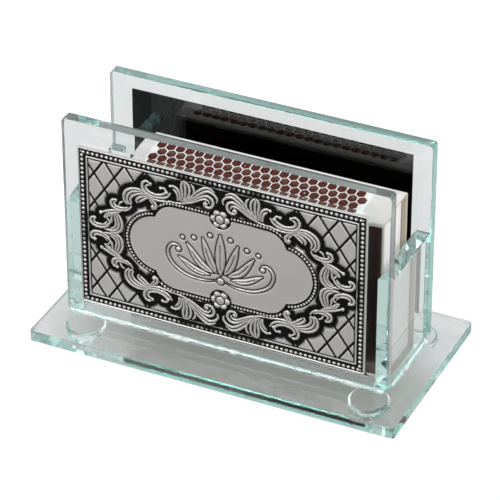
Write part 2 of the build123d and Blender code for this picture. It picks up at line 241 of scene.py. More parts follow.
def make_floor():
    """A white floor with a painted shadow beneath and painted dark shade in front, plus a plain tone by
    the kind of ray.
    """
    half = floor_size / 2
    corners = [(-half, -half, 0), (half, -half, 0), (half, half, 0), (-half, half, 0)]
    floor = mesh_object("floor", corners, [(0, 1, 2, 3)])
    floor.location.z = -floor_drop
    look = Look("floor")
    along, across, _ = look.axes()
    # How far a place lies from the middle of the painted shadow beneath the holder, as shares of its reach
    away = 0.0
    for value, middle, reach in zip((along, across), painted_shadow_middle, painted_shadow_reach):
        off = look.math("DIVIDE", look.math("SUBTRACT", value, middle), reach)
        away = look.math("MULTIPLY_ADD", off, off, away)
    # Painted shadow: the floor's colour darkens beneath the holder and fades into the plain floor around
    # it
    shade = look.mix(look.ramp(away, *painted_shadow_fade), floor_painted_shadow, floor_around)
    # Painted dark shade on the floor in front of the holder, which the glass and the silver reflect
    front = look.ramp(across, *floor_front_painted_shade_edge, 1.0, 0.0)
    look.set(Base_Color=look.mix(front, shade, floor_front_painted_shade), Roughness=0.9, Specular_IOR_Level=0.1)
    path = look.add("ShaderNodeLightPath")
    straight, through = path.outputs["Is Camera Ray"], path.outputs["Is Transmission Ray"]
    mirrored = look.math("SUBTRACT", path.outputs["Is Glossy Ray"], through, clamp=True)
    share, tone = 0.0, 0.0
    for ray, (ray_share, ray_tone) in zip((straight, through, mirrored), floor_tones):
        share = look.math("MULTIPLY_ADD", ray, ray_share, share)
        tone = look.math("MULTIPLY_ADD", ray, ray_tone, tone)
    # Painted shade: in front, rays through glass or off a gloss meet a near black plain tone
    plain = look.mix(front, shade, floor_front_painted_shade_plain)
    plain = look.mix(straight, plain, (1.0, 1.0, 1.0))
    look.mix_in(share, look.add("ShaderNodeEmission", {"Color": plain, "Strength": tone}))
    floor.data.materials.append(look.material)


def make_lamp(name, place, target, size, power):
    """A rectangular lamp that faces a point."""
    light = bpy.data.lights.new(name, "AREA")
    light.shape = "RECTANGLE"
    light.size, light.size_y = size
    light.energy = power
    lamp = link_object(name, light)
    lamp.location = place
    aim = Vector(target) - Vector(place)
    lamp.rotation_euler = aim.to_track_quat("-Z", "Y").to_euler()


def make_world():
    """Even white light, stronger from the right."""
    world = bpy.data.worlds.new("studio")
    world.use_nodes = True
    tree = world.node_tree
    background = tree.nodes["Background"]
    background.inputs["Color"].default_value = (1.0, 1.0, 1.0, 1.0)
    direction = tree.nodes.new("ShaderNodeTexCoord")
    split = tree.nodes.new("ShaderNodeSeparateXYZ")
    grade = tree.nodes.new("ShaderNodeMapRange")
    limits = (*world_grade, world_light, world_right)
    for key, value in zip(("From Min", "From Max", "To Min", "To Max"), limits):
        grade.inputs[key].default_value = value
    tree.links.new(direction.outputs["Generated"], split.inputs[0])
    tree.links.new(split.outputs["X"], grade.inputs[0])
    tree.links.new(grade.outputs[0], background.inputs["Strength"])
    bpy.context.scene.world = world


def make_studio():
    """Camera, floor, world and lamps, and how often light may bounce."""
    scene = bpy.context.scene
    scene.view_settings.view_transform = "Standard"
    scene.cycles.max_bounces = glass_bounces
    scene.cycles.transmission_bounces = glass_bounces
    scene.cycles.glossy_bounces = glass_bounces
    make_camera()
    make_floor()
    make_world()
    for lamp in lamps:
        make_lamp(*lamp)


# Materials

# Their colours, linear. Noise runs from the first to the second of a pair
glass_clear, glass_chip = (1, 1, 1), (0.42, 0.44, 0.43)
foot_clear = (0.95, 0.97, 0.96)
glue_clear, glue_cloudy_highlight = (0.84, 0.97, 0.96), (1, 1, 1)
silver_bright, silver_black = ((0.75, 0.735, 0.715), (0.80, 0.785, 0.765)), (0.005, 0.005, 0.0055)
tape_white = ((0.62, 0.62, 0.6), (0.8, 0.8, 0.78))
film_black, film_smudge, film_dust = (0.0022, 0.0022, 0.0024), (0.006, 0.009, 0.0075), (0.05, 0.05, 0.05)
card_white, card_scuff = ((0.70, 0.69, 0.675), (0.79, 0.785, 0.77)), (0.55, 0.53, 0.495)
card_board = ((0.40, 0.345, 0.27), (0.60, 0.545, 0.455))
print_brown, print_speck = ((0.021, 0.006, 0.0045), (0.034, 0.0095, 0.0065)), (0.11, 0.085, 0.07)
print_rubbed = (0.085, 0.032, 0.02)
striker_white = ((0.91, 0.905, 0.895), (0.96, 0.955, 0.95))
striker_brown, striker_deep = ((0.058, 0.0105, 0.0055), (0.148, 0.031, 0.017)), (0.042, 0.0075, 0.005)
wood_pale = ((0.66, 0.475, 0.265), (0.80, 0.64, 0.415))
wood_grain, wood_streak = (0.46, 0.29, 0.14), (0.52, 0.33, 0.17)
head_red, head_deep = ((0.085, 0.014, 0.010), (0.19, 0.036, 0.024)), (0.06, 0.012, 0.009)


def over_foot(look):
    """1 on the base's underside over a foot. All four lie alike, so one's place gives the others'."""
    low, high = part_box("foot_front_right")
    *level, up = look.axes()
    squares = 0.0
    for axis, value in enumerate(level):
        off = look.math("SUBTRACT", look.math("ABSOLUTE", value), abs(low[axis] + high[axis]) / 2)
        squares = look.math("MULTIPLY_ADD", off, off, squares)
    close = look.math("LESS_THAN", squares, ((high[0] - low[0]) / 2) ** 2)
    return look.math("MULTIPLY", close, look.math("LESS_THAN", up, high[2] + air_gap))


def clear_glass():
    """Float glass, green in its depth, clear where it is bonded and scratched where it is ground."""
    look = Look("clear_glass")
    ground = look.attribute("ground")
    rough = look.math("MULTIPLY", ground, ground_rough)
    look.set(IOR=glass_index, Transmission_Weight=1, Roughness=rough)
    waves = look.noise(700, detail=3, roughness=0.6)
    scratches = look.noise(2600, detail=2, stretch=(1, 0.06, 1), turn=(0.4, 0.5, 0.7))
    strength = look.math("DIVIDE", ground, ground_arris, clamp=True)
    look.bump(look.math("ADD", waves, scratches), strength, 0.05 * mm)
    chips = look.noise(900, detail=3, roughness=0.6, stretch=(0.07, 1, 1))
    on_ground = look.math("GREATER_THAN", ground, 0.1)
    chips = look.math("MULTIPLY", look.ramp(chips, 0.6, 0.64), on_ground)
    look.set(Base_Color=look.mix(chips, glass_clear, glass_chip))
    bonded = look.math("MAXIMUM", look.attribute("bonded"), over_foot(look))
    look.mix_in(bonded, look.add("ShaderNodeBsdfTransparent"))
    inputs = {"Color": glass_green, "Density": glass_density}
    look.put(look.output, "Volume", look.add("ShaderNodeVolumeAbsorption", inputs).outputs[0])
    return look.material


def clear_bumper():
    """Soft clear plastic with a faint haze, stuck to the base without an air gap."""
    look = Look("clear_bumper")
    look.set(Base_Color=foot_clear, IOR=foot_index, Transmission_Weight=1)
    look.set(Roughness=look.ramp(look.noise(400), 0.3, 0.7, 0.06, 0.16))
    look.mix_in(look.attribute("bonded"), look.add("ShaderNodeBsdfTransparent"))
    return look.material


def clear_glue():
    """Cured adhesive: clear, with a few cloudy stretches and small bubbles; their white is partly painted
    highlight.
    """
    look = Look("clear_glue")
    # Cloudy stretches: white and less clear, partly real cloudiness and partly a painted highlight along
    # the seam
    cloud = look.ramp(look.noise(300), 0.45, 0.75)
    look.set(Base_Color=look.mix(cloud, glue_clear, glue_cloudy_highlight))
    look.set(Roughness=look.ramp(cloud, 0, 1, 0.03, 0.25), IOR=glue_index)
    look.set(Transmission_Weight=look.ramp(cloud, 0, 1, 0.95, 0.45))
    return look.bump(look.ramp(look.cells(2500), 0.1, 0.3), 0.6, 0.03 * mm).material


def silver():
    """Antique silver: bright where the relief is high, blackened where it is low."""
    look = Look("antique_silver")
    patina = look.attribute("patina")
    grain = look.noise(1500)
    cloud = look.noise(150)
    uneven = look.math("SUBTRACT", look.math("ADD", grain, cloud), 1)
    dark = look.math("MULTIPLY_ADD", uneven, 0.16, patina)
    dark = look.ramp(dark, 0, 0.92)
    bright = look.mix(cloud, *silver_bright)
    look.set(
        Base_Color=look.mix(dark, bright, silver_black),
        Metallic=look.math("MULTIPLY_ADD", dark, -0.75, 1),
        Roughness=look.ramp(dark, 0, 1, 0.52, 0.6),
        Specular_IOR_Level=0.06,
    )
    return look.bump(grain, 0.08, 0.02 * mm).material


def mounting_tape():
    """White foam tape with open pores."""
    look = Look("mounting_tape")
    pores = look.cells(3000)
    look.set(Base_Color=look.mix(look.ramp(pores, 0, 0.5), *tape_white), Roughness=0.75)
    return look.bump(pores, 0.3, 0.05 * mm).material


def black_film():
    """Black film: glossy, with wiped smudges and a few specks of dust."""
    look = Look("black_film")
    smudge = look.ramp(look.noise(60, detail=5, stretch=(1, 1, 0.6)), 0.48, 0.7)
    dust = look.ramp(look.noise(3500, detail=2), 0.74, 0.8)
    colour = look.mix(smudge, film_black, film_smudge)
    look.set(Base_Color=look.mix(dust, colour, film_dust))
    look.set(Roughness=look.ramp(smudge, 0, 1, 0.02, 0.12), Specular_IOR_Level=0.1)
    return look.material


def card_surface(look, core, print_share):
    """White coated card, grey-tan board where core is 1, and dark print where print_share is 1."""
    fibre = look.noise(2600, detail=3)
    cloud = look.noise(120, detail=5)
    scuff = look.ramp(cloud, 0.55, 0.8, 0, 0.3)
    white = look.mix(scuff, look.mix(fibre, *card_white), card_scuff)
    colour = look.mix(core, white, look.mix(fibre, *card_board))
    look.set(Base_Color=look.mix(print_share, colour, dark_print(look)))
    rough = look.ramp(core, 0, 1, 0.5, 0.85)
    look.set(Roughness=look.math("MULTIPLY_ADD", print_share, -0.1, rough), Specular_IOR_Level=0.3)
    return look.bump(fibre, 0.25, 0.03 * mm).material


def dark_print(look):
    """The colour of dark brown print, with fine specks where the paper shows."""
    speck = look.ramp(look.noise(4200, detail=1), 0.73, 0.8)
    cloud = look.ramp(look.noise(90), 0.3, 0.7)
    return look.mix(speck, look.mix(cloud, *print_brown), print_speck)


def printed_card():
    """The sleeve: white outside, board inside and at its cut ends, printed on its back."""
    look = Look("printed_card")
    low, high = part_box("matchbox_sleeve")
    along, across, up = look.axes()
    # Inside means past the middle of the wall
    wall = card_thickness / 2
    inner_y = look.off_centre(across, low[1] + wall, high[1] - wall)
    inner_z = look.off_centre(up, low[2] + wall, high[2] - wall)
    inside = look.math("LESS_THAN", look.math("MAXIMUM", inner_y, inner_z), 0)
    cut = look.math("GREATER_THAN", look.off_centre(along, low[0], high[0]), -card_skin)
    core = look.math("MAXIMUM", inside, cut)
    behind = look.math("GREATER_THAN", across, high[1] - card_skin)
    frayed = look.math("MULTIPLY_ADD", look.noise(1200), 0.3 * mm, 0.75 * mm)
    printed = look.math("LESS_THAN", look.math("ADD", look.off_face(low, high), frayed), 0)
    return card_surface(look, core, look.math("MULTIPLY", printed, behind))


def tray_card():
    """The tray: white-faced board, with grey-tan rims."""
    look = Look("tray_card")
    low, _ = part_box("match_tray")
    rim = look.math("LESS_THAN", look.axes()[1], low[1] + card_skin)
    return card_surface(look, rim, 0)


def dark_label():
    """Bare dark print, rubbed to brown along its edges."""
    look = Look("dark_label")
    rubbed = look.ramp(look.off_face(*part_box("front_label")), -0.9 * mm, -0.05 * mm)
    rubbed = look.math("MULTIPLY", rubbed, look.ramp(look.noise(900), 0.35, 0.65))
    look.set(Base_Color=look.mix(rubbed, dark_print(look), print_rubbed))
    fibre = look.noise(2600, detail=3)
    look.set(Roughness=look.ramp(fibre, 0.3, 0.7, 0.42, 0.58), Specular_IOR_Level=0.1)
    return look.bump(fibre, 0.2, 0.02 * mm).material


def hexagon_share(look, node):
    """1 inside the cells of a honeycomb over a striker, 0 between them."""
    low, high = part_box(node)
    slant = cos(radians(30))
    pitches = (cell_pitch, 2 * cell_pitch * slant)
    middles = ((low[0] + high[0]) / 2 + cell_pitch / 4, (low[1] + high[1]) / 2)
    reaches = []
    for shift in (0, 0.5):
        off = []
        for value, middle, pitch in zip(look.axes(), middles, pitches):
            place = look.math("ADD", look.math("SUBTRACT", value, middle), shift * pitch)
            cell = look.math("ROUND", look.math("DIVIDE", place, pitch))
            off.append(look.math("ABSOLUTE", look.math("MULTIPLY_ADD", cell, -pitch, place)))
        slanted = look.math("MULTIPLY_ADD", off[0], 0.5, look.math("MULTIPLY", off[1], slant))
        reaches.append(look.math("MAXIMUM", off[0], slanted))
    return look.math("LESS_THAN", look.math("MINIMUM", *reaches), (cell_pitch - cell_gap) / 2)


def striker_coat(node, cells):
    """White card with brown-red cells of striking grit."""
    look = Look(node + "_coat")
    cell = cells(look, node)
    grit = look.noise(4500, detail=2)
    cloud = look.noise(250)
    brown = look.mix(look.ramp(grit, 0.3, 0.7), *striker_brown)
    brown = look.mix(look.ramp(cloud, 0.3, 0.7, 0, 0.35), brown, striker_deep)
    missed = look.ramp(look.noise(1500, detail=3), 0.68, 0.72)
    cell = look.math("MULTIPLY", cell, look.math("SUBTRACT", 1, missed))
    white = look.mix(look.noise(2600), *striker_white)
    look.set(Base_Color=look.mix(cell, white, brown))
    look.set(Roughness=look.ramp(cell, 0, 1, 0.5, 0.8), Specular_IOR_Level=0.06)
    return look.bump(look.math("MULTIPLY", grit, cell), 0.7, 0.04 * mm).material


def raised_share(look, node):
    """1 on the raised cells of the upper striker, 0 on its sheet."""
    _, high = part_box(node)
    return look.math("GREATER_THAN", look.axes()[2], high[2] - cell_height * 0.97)


def match_wood():
    """Pale splints, each of its own shade, with grain along them."""
    look = Look("match_wood")
    grain = look.noise(1500, detail=5, roughness=0.6, stretch=(0.05, 1, 1))
    streak = look.noise(500, detail=2, stretch=(0.04, 1, 1))
    # Each splint lies in a cell of its own, across the splints
    low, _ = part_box("match_sticks")
    corner = (0, low[1] / match_pitch - 0.1, low[2] / match_pitch - 0.1)
    cell = look.vector("MULTIPLY", look.place(), (0, 1 / match_pitch, 1 / match_pitch))
    cell = look.vector("FLOOR", look.vector("SUBTRACT", cell, corner))
    own = look.add("ShaderNodeTexWhiteNoise", {"Vector": cell}, noise_dimensions="3D").outputs["Value"]
    colour = look.mix(own, *wood_pale)
    colour = look.mix(look.ramp(grain, 0.35, 0.7, 0, 0.45), colour, wood_grain)
    colour = look.mix(look.ramp(streak, 0.5, 0.75, 0, 0.4), colour, wood_streak)
    look.set(Base_Color=colour, Roughness=0.65)
    return look.bump(grain, 0.35, 0.05 * mm).material


def match_head():
    """Dark red-brown compound with a fine grit."""
    look = Look("match_head")
    grit = look.noise(3500, detail=3)
    cloud = look.noise(500)
    colour = look.mix(look.ramp(grit, 0.3, 0.7), *head_red)
    look.set(Base_Color=look.mix(look.ramp(cloud, 0.4, 0.7, 0, 0.5), colour, head_deep))
    look.set(Roughness=look.ramp(grit, 0.3, 0.7, 0.55, 0.8))
    return look.bump(grit, 0.7, 0.06 * mm).material


# Glass plates

def flat_copy(node):
    """A flat-faced copy of a node's mesh, as a bmesh."""
    mesh = nodes[node].data.copy()
    if "custom_normal" in mesh.attributes:
        mesh.attributes.remove(mesh.attributes["custom_normal"])
    shape = bmesh.new()
    shape.from_mesh(mesh)
    bmesh.ops.remove_doubles(shape, verts=shape.verts, dist=weld)
    for face in shape.faces:
        face.smooth = False
    return shape


def box_round(points):
    """The lowest and the highest corner of some points."""
    return [Vector([pick(values) for values in zip(*points)]) for pick in (min, max)]


def foot_of(shape):
    """The lowest face's bounds, as two corners."""
    low = min(vertex.co.z for vertex in shape.verts)
    return box_round([vertex.co for vertex in shape.verts if vertex.co.z < low + weld])


def cut_patch(shape, patch, axes):
    """Cut a mesh along a patch's bounds, so that the patch has faces of its own."""
    for corner in patch:
        for axis in axes:
            normal = Vector([float(index == axis) for index in range(3)])
            everything = shape.verts[:] + shape.edges[:] + shape.faces[:]
            bmesh.ops.bisect_plane(shape, geom=everything, plane_co=corner, plane_no=normal, dist=weld)


def sink_face(shape, axis, side):
    """Push a plate's outermost face on one side of an axis out by the bond's depth."""
    outermost = max(side * vertex.co[axis] for vertex in shape.verts)
    for vertex in shape.verts:
        if side * vertex.co[axis] > outermost - weld:
            vertex.co[axis] += side * bond_depth


def in_patches(face, patches):
    """True if a face lies in one of the bonded patches, or within the bond's reach of it."""
    middle, reach = face.calc_center_median(), 2 * bond_depth
    return any(
        all(low - reach < place < high + reach for low, place, high in zip(patch[0], middle, patch[1]))
        for patch in patches
    )


def grind_arrises(shape, patches):
    """Take off the sharp edges that no neighbour is bonded to, and return the narrow new faces."""
    sharp = [
        edge for edge in shape.edges
        if len(edge.link_faces) == 2 and edge.calc_face_angle() > arris_angle
        and not any(in_patches(face, patches) for face in edge.link_faces)
    ]
    made = bmesh.ops.bevel(
        shape, geom=sharp, offset=arris_width, segments=1, affect="EDGES", clamp_overlap=True,
    )
    return set(made["faces"])


def finish_glass(node, shape, patches, material):
    """Make the piece that stands for a glass node, with its bonded and ground faces marked."""
    arrises = grind_arrises(shape, patches)
    low, high = box_round([vertex.co for vertex in shape.verts])
    spans = list(high - low)
    thin = spans.index(min(spans))
    bonded = shape.faces.layers.float.new("bonded")
    ground = shape.faces.layers.float.new("ground")
    for face in shape.faces:
        face.normal_update()
        on_edge = abs(face.normal[thin]) < 0.5
        face[bonded] = float(in_patches(face, patches))
        arris = face in arrises
        left_end = (arris or on_edge) and face.normal.x < -0.5
        face[ground] = 1.0 if left_end else ground_arris if arris else ground_edge if on_edge else 0.0
    add_piece(node + "_glass", shape, material, node)


def add_piece(name, shape, material, node):
    """Turn a bmesh into a piece on the holder that stands for a CAD node."""
    mesh = bpy.data.meshes.new(name)
    shape.to_mesh(mesh)
    shape.free()
    mesh.materials.append(material)
    piece = link_object(name, mesh)
    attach(piece, "holder")
    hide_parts(node)


def build_glass():
    """The glass plates. A bonded face sinks a hair into its neighbour, so light meets them in turn."""
    material = clear_glass()
    names = ("base_plate", "front_panel", "back_panel", "left_side_panel", "right_side_panel")
    shapes = {name: flat_copy(name) for name in names}
    feet = [foot_of(shapes[name]) for name in names[1:]]
    for foot in feet:
        cut_patch(shapes["base_plate"], foot, (0, 1))
    low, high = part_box("plaque_tape")
    tape = (Vector(low), Vector(high))
    cut_patch(shapes["front_panel"], tape, (0, 2))
    ends = []
    for side in ("left_side_panel", "right_side_panel"):
        low, high = box_round([vertex.co for vertex in shapes[side].verts])
        for y, panel in ((low.y, "front_panel"), (high.y, "back_panel")):
            end = (Vector((low.x, y, low.z)), Vector((high.x, y, high.z)))
            cut_patch(shapes[panel], end, (0, 2))
            ends.append(end)
        sink_face(shapes[side], 1, -1)
        sink_face(shapes[side], 1, 1)
    for name in names[1:]:
        sink_face(shapes[name], 2, -1)
    for name in names:
        finish_glass(name, shapes[name], feet + ends + [tape], material)


# Pieces that touch the glass, each an air gap away from it

def build_standing_off():
    """The film, the tape and the adhesive strips, moved off the glass by an air gap."""
    glue = clear_glue()
    moves = [
        ("back_film", black_film(), "black_film", (0, 1, 0)),
        ("plaque_tape", mounting_tape(), "mounting_tape", (0, -1, 0)),
        ("glue_bead_front", glue, "clear_glue", (0, -1, 1)),
        ("glue_bead_back", glue, "clear_glue", (0, 1, 1)),
        ("glue_bead_left", glue, "clear_glue", (-1, 0, 1)),
        ("glue_bead_right", glue, "clear_glue", (1, 0, 1)),
    ]
    for node, material, slot, away in moves:
        shape = flat_copy(node)
        bmesh.ops.translate(shape, verts=shape.verts, vec=Vector(away) * air_gap)
        add_piece(node + "_piece", shape, material, node)


def turned_dome(low, high):
    """A dome between two corners as a bmesh, its flat below and its wide side, bonded, on top."""
    centre = (low + high) / 2
    radius, height = (high[0] - low[0]) / 2, high[2] - low[2] - air_gap
    flat = foot_flat_share * radius
    profile = [(0.0, 0.0)]
    for step in range(foot_rings + 1):
        angle = pi / 2 * step / foot_rings
        profile.append((flat + (radius - flat) * sin(angle), height * (1 - cos(angle)) ** 0.8))
    profile.append((0.0, height))
    turns = np.linspace(0, 2 * pi, foot_turns, endpoint=False)
    shape = bmesh.new()
    rings = []
    for reach, rise in profile:
        rings.append([
            shape.verts.new((centre[0] + reach * cos(turn), centre[1] + reach * sin(turn), low[2] + rise))
            for turn in turns
        ])
    for lower, upper in zip(rings, rings[1:]):
        for spot in range(foot_turns):
            after = (spot + 1) % foot_turns
            shape.faces.new((lower[spot], upper[spot], upper[after], lower[after]))
    bmesh.ops.remove_doubles(shape, verts=shape.verts, dist=weld)
    bmesh.ops.recalc_face_normals(shape, faces=shape.faces)
    bonded = shape.faces.layers.float.new("bonded")
    for face in shape.faces:
        face.smooth = abs(face.normal.z) < 0.999
        face[bonded] = float(face.normal.z > 0.999)
    return shape


def build_feet():
    """Four clear domes, each with a small flat that it stands on."""
    material = clear_bumper()
    for node in ("foot_front_left", "foot_front_right", "foot_back_left", "foot_back_right"):
        low, high = (np.array(corner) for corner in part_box(node))
        add_piece(node + "_dome", turned_dome(low, high), material, node)


# Plaque relief, in millimetres

# The grid's step, a distance beyond everything's reach, how far the plain ground lies behind the CAD
# box's front, and how deep the blackened ground is etched
grid_step, far = 0.12, 9.0
ground_depth, etched_depth = 0.55, 0.06

# Scrollwork, with the black ground's fade away from it and the dark seams between its ridges. The
# spread is how much wider a ridge is than it is drawn, and the reach is how far off it is looked for
ridge_rise, ridge_bluntness, ridge_spread, ridge_reach = 0.13, 0.3, 1.03, 1.6
knob_rise, ground_fade = 0.2, (0.8, 2.4)
seam_width, seam_start, seam_end, seam_depth = 0.85, (0.4, 0.75), 1.3, 0.6

# Cartouche: an oblong with a lobe at each end. What follows lies at distances from its outline, and a
# line is given by its place and width
oblong_half_length, oblong_half_height, oblong_corner = 13.8, 9.2, 4.0
lobe_middle, lobe_radius, cartouche_clear = 13.2, 6.0, 0.3
rim_rise, rim_line, outer_rise, outer_line = 0.025, (0.12, 0.12), 0.06, (1.45, 0.13)
channel_start, channel_end = (0.02, 0.16), (1.15, 1.45)

# Sprig, with a vein in each leaf that is wider than veined_leaf
sprig_rise, sprig_sides, sprig_outline = 0.2, (-0.22, -0.02), (0.1, 0.2)
veined_leaf, vein_sides, vein_ends = 0.5, (0.05, 0.16), (0.12, 0.8)

# Border: a rim, a dark channel, a raised line and a dark one, at distances from the edge
border_rim, border_rim_rise = 0.2, 0.08
border_start, border_end = (0.18, 0.28), (1.6, 1.75)
frame_rise, frame_line, inner_line = 0.03, (1.82, 0.1), (2.1, 0.2)

# Beads: each row's pitch, radius and rise, and its distance from the edge or the cartouche, where two
# rows begin and end, and how far bead tops are wiped bright, in all and near the scrollwork
border_beads, border_inset = (1.0, 0.38, 0.22), 0.85
lobe_beads, lobe_offset = (0.72, 0.27, 0.17), 0.75
top_beads, top_offset = (0.68, 0.26, 0.17), 0.72
lobe_row_angle, lobe_row_from, top_row_from, top_row_above = radians(82), 12, 2.4, 8.5
wiped_share, wiped_dome, wiped_least, wiped_fade = 0.75, (0.25, 0.65), 0.3, (0.9, 2.3)

# Lattice: a crossing's place, the pitch along and up, and for the field how far it reaches and how
# clear it keeps of the edge, the cartouche and the scrollwork
lattice_origin, lattice_pitch, lattice_slant = (3.35, 5.0), (4.4, 6.4), 0.82
lattice_sides, lattice_length, lattice_corner = (0.18, 0.31), 16, 19.5
lattice_clear = (2.0, 1.5, 0.8)

# Rosettes: six petals round a domed eye
rosette_reach, rosette_halo = 2.3, (2.1, 2.7)
petal_root, petal_length, petal_rise = 1.5, 0.6, 0.36
eye_radius, eye_rise, eye_outline = 0.95, 0.3, (1.02, 0.12)

# Patina: the heights over which the black is lifted, and on lifted work how much is left, how much
# less where it stands proud, the limits, and how many blurs tell what is proud
lifted_heights = (0.03, 0.1)
plain_patina, proud_gain, patina_limits, patina_blurs = 0.46, 16, (0.28, 0.95), 6


def smooth_step(value, low, high):
    """Smooth step from 0 at low to 1 at high."""
    share = np.clip((value - low) / (high - low), 0, 1)
    return share * share * (3 - 2 * share)


def soft_line(distance, place, width):
    """1 at a place, fading out on both sides."""
    return np.exp(-((distance - place) / width) ** 2)


def band(distance, start, end):
    """1 from a soft start to a soft end, each given as where it begins and is done."""
    return smooth_step(distance, *start) * (1 - smooth_step(distance, *end))


def dome(distance, radius, power=2):
    """A dome's height, 1 in its middle and 0 from its radius on."""
    return np.sqrt(np.clip(1 - (distance / radius) ** power, 0, 1))


def curve_through(points, steps=8):
    """A smooth line through points, with a number of steps between each two."""
    points = [np.array(point, float) for point in points]
    ends = [2 * points[0] - points[1]] + points + [2 * points[-1] - points[-2]]
    line = []
    for before, start, end, after in zip(ends, ends[1:], ends[2:], ends[3:]):
        for step in range(steps):
            t = step / steps
            line.append(0.5 * (
                2 * start + (end - before) * t
                + (2 * before - 5 * start + 4 * end - after) * t ** 2
                + (3 * start - before - 3 * end + after) * t ** 3
            ))
    line.append(points[-1])
    return np.array(line)


def distance_to_line(x, y, line):
    """Distance from grid points to a line, and how far along it the nearest place is, from 0 to 1."""
    nearest = np.full(x.shape, 1e9)
    along = np.zeros(x.shape)
    count = len(line) - 1
    for index, (start, end) in enumerate(zip(line, line[1:])):
        run = end - start
        share = ((x - start[0]) * run[0] + (y - start[1]) * run[1]) / max(run @ run, 1e-9)
        share = np.clip(share, 0, 1)
        gap = np.hypot(x - start[0] - share * run[0], y - start[1] - share * run[1])
        closer = gap < nearest
        nearest[closer] = gap[closer]
        along[closer] = (index + share[closer]) / count
    return nearest, along


# Ridges of one quarter of the scrollwork: half width at the middle, then points through which the
# ridge runs, in millimetres from the plaque's top left corner, to the right and down
scroll_ridges = [
    (0.27, [(22, 6.5), (24, 5), (25.6, 3.3), (27, 2.3), (28, 2.15), (29, 2.7)]),
    (0.29, [(22.4, 6.7), (24.6, 5.1), (26.2, 3.7), (27.6, 2.9), (28.8, 3.2), (29.6, 4.1), (29.5, 4.9)]),
    (0.29, [(22.9, 6.7), (25, 5.3), (26.6, 4.2), (27.8, 4), (28.6, 4.6), (28.7, 5.6), (28.1, 6.4),
            (27.2, 6.4), (26.8, 5.8), (27.2, 5.3)]),
    (0.24, [(19.2, 7.2), (21.5, 7.1), (23.8, 6.4), (25.6, 5.4), (26.8, 4.8), (27.7, 4.9), (28, 5.5)]),
    (0.27, [(22, 6.3), (22.3, 5), (22.1, 3.6), (22.2, 2.4), (22.6, 1.8)]),
    (0.27, [(22.4, 6.3), (22.9, 5), (22.9, 3.6), (22.8, 2.4), (22.5, 1.8)]),
    (0.27, [(22.7, 6.3), (23.6, 4.9), (23.8, 3.5), (23.5, 2.5), (22.9, 1.9)]),
    (0.26, [(23, 6.4), (24.3, 4.9), (24.8, 3.7), (24.6, 2.8), (24.2, 2.3)]),
    (0.27, [(21.6, 6.4), (21.8, 5.2), (21.3, 4.1), (20.5, 3.6), (19.6, 3.7)]),
    (0.26, [(21.3, 6.5), (21.3, 5.5), (20.9, 4.7), (20.4, 4.3)]),
    (0.31, [(15.5, 4.4), (14.7, 3.9), (13.9, 4.4), (13.7, 5.3), (14.2, 6.3), (15.3, 6.9), (16.8, 7),
            (18.2, 6.8), (19.2, 6.2), (19.7, 5.4)]),
    (0.29, [(15.6, 4.6), (14.9, 4.7), (14.5, 5.3), (14.9, 6), (15.9, 6.4), (17.2, 6.4), (18.3, 5.9),
            (18.8, 5.2), (18.4, 4.6), (17.7, 4.6)]),
    (0.25, [(13.9, 6.3), (15, 7.2), (16.6, 7.6), (18.4, 7.5), (20, 7.2)]),
    (0.31, [(14.6, 6.6), (13, 6.2), (11.3, 6.5), (10.1, 7.4), (9.7, 8.6), (9.9, 9.6), (10.5, 10.2)]),
    (0.29, [(14.8, 6.9), (13.2, 6.7), (11.8, 7), (10.8, 7.8), (10.4, 8.8), (10.6, 9.7), (11.2, 10.1)]),
    (0.27, [(14.9, 7.1), (13.6, 7.1), (12.4, 7.5), (11.5, 8.2), (11.1, 9), (11.4, 9.8)]),
    (0.28, [(15, 7.3), (13.8, 7.6), (12.9, 8.2), (12.4, 8.8), (12.6, 9.3)]),
    (0.26, [(15.3, 7.4), (14.4, 7.9), (13.7, 8.5), (13, 9.1)]),
    (0.29, [(15.2, 7.4), (16, 8), (16.6, 8.8), (16.5, 9.5), (15.9, 9.8), (15.6, 9.3)]),
    (0.21, [(15.1, 7.7), (15.6, 8.3), (16, 8.9)]),
    (0.31, [(8, 9.9), (7.3, 10), (6.9, 10.7), (7.2, 11.5), (8.2, 11.9), (9.4, 11.9), (10.6, 11.4),
            (11.3, 10.6)]),
    (0.26, [(7.8, 10.3), (7.6, 10.8), (8.1, 11.3), (9.4, 11.4), (10.5, 11)]),
    (0.21, [(8.6, 11), (8.9, 10.3), (9.5, 9.9)]),
    (0.29, [(9.6, 11.9), (8.3, 12.2), (6.9, 12.6), (5.6, 13.1), (4.7, 13.5)]),
    (0.28, [(9, 12.3), (7.6, 12.9), (6.3, 13.4), (5.5, 14.1)]),
    (0.26, [(8.6, 12.6), (7.2, 13.3), (6.2, 14), (5.6, 14.5)]),
    (0.31, [(8, 12.6), (8.8, 13.8), (9.2, 15.2), (8.9, 16.6), (7.9, 17.4), (6.6, 17.6)]),
    (0.28, [(7.8, 12.9), (8.2, 14), (8.5, 15.2), (8.2, 16.4), (7.3, 17.1), (6, 17.2), (5.2, 17.1)]),
    (0.25, [(7.6, 13.2), (7.7, 14.4), (7.9, 15.4), (7.5, 16.3), (6.6, 16.8)]),
    (0.25, [(7.4, 13.2), (7, 14), (6.9, 14.9), (6.5, 15.6), (5.6, 16.1), (4.5, 16.2)]),
    (0.31, [(3.3, 15.1), (2.6, 15.2), (2.3, 15.9), (2.8, 16.7), (3.9, 17), (5.2, 16.8), (6.2, 16.1),
            (6.5, 15.2), (6, 14.6)]),
    (0.26, [(3, 15.6), (3.3, 16.2), (4.2, 16.4), (5.3, 16.1), (5.9, 15.4)]),
]
# Round knobs at the scrolls' ends: radius, then place
scroll_knobs = [
    (0.34, (27.3, 5.8)), (0.30, (19.7, 3.75)), (0.36, (15.5, 4.4)), (0.38, (17.7, 4.7)),
    (0.40, (15.9, 9.4)), (0.36, (7.9, 9.95)), (0.40, (4.6, 13.6)), (0.30, (5.5, 14.4)),
    (0.42, (3.2, 15.15)), (0.34, (19, 5.4)),
]
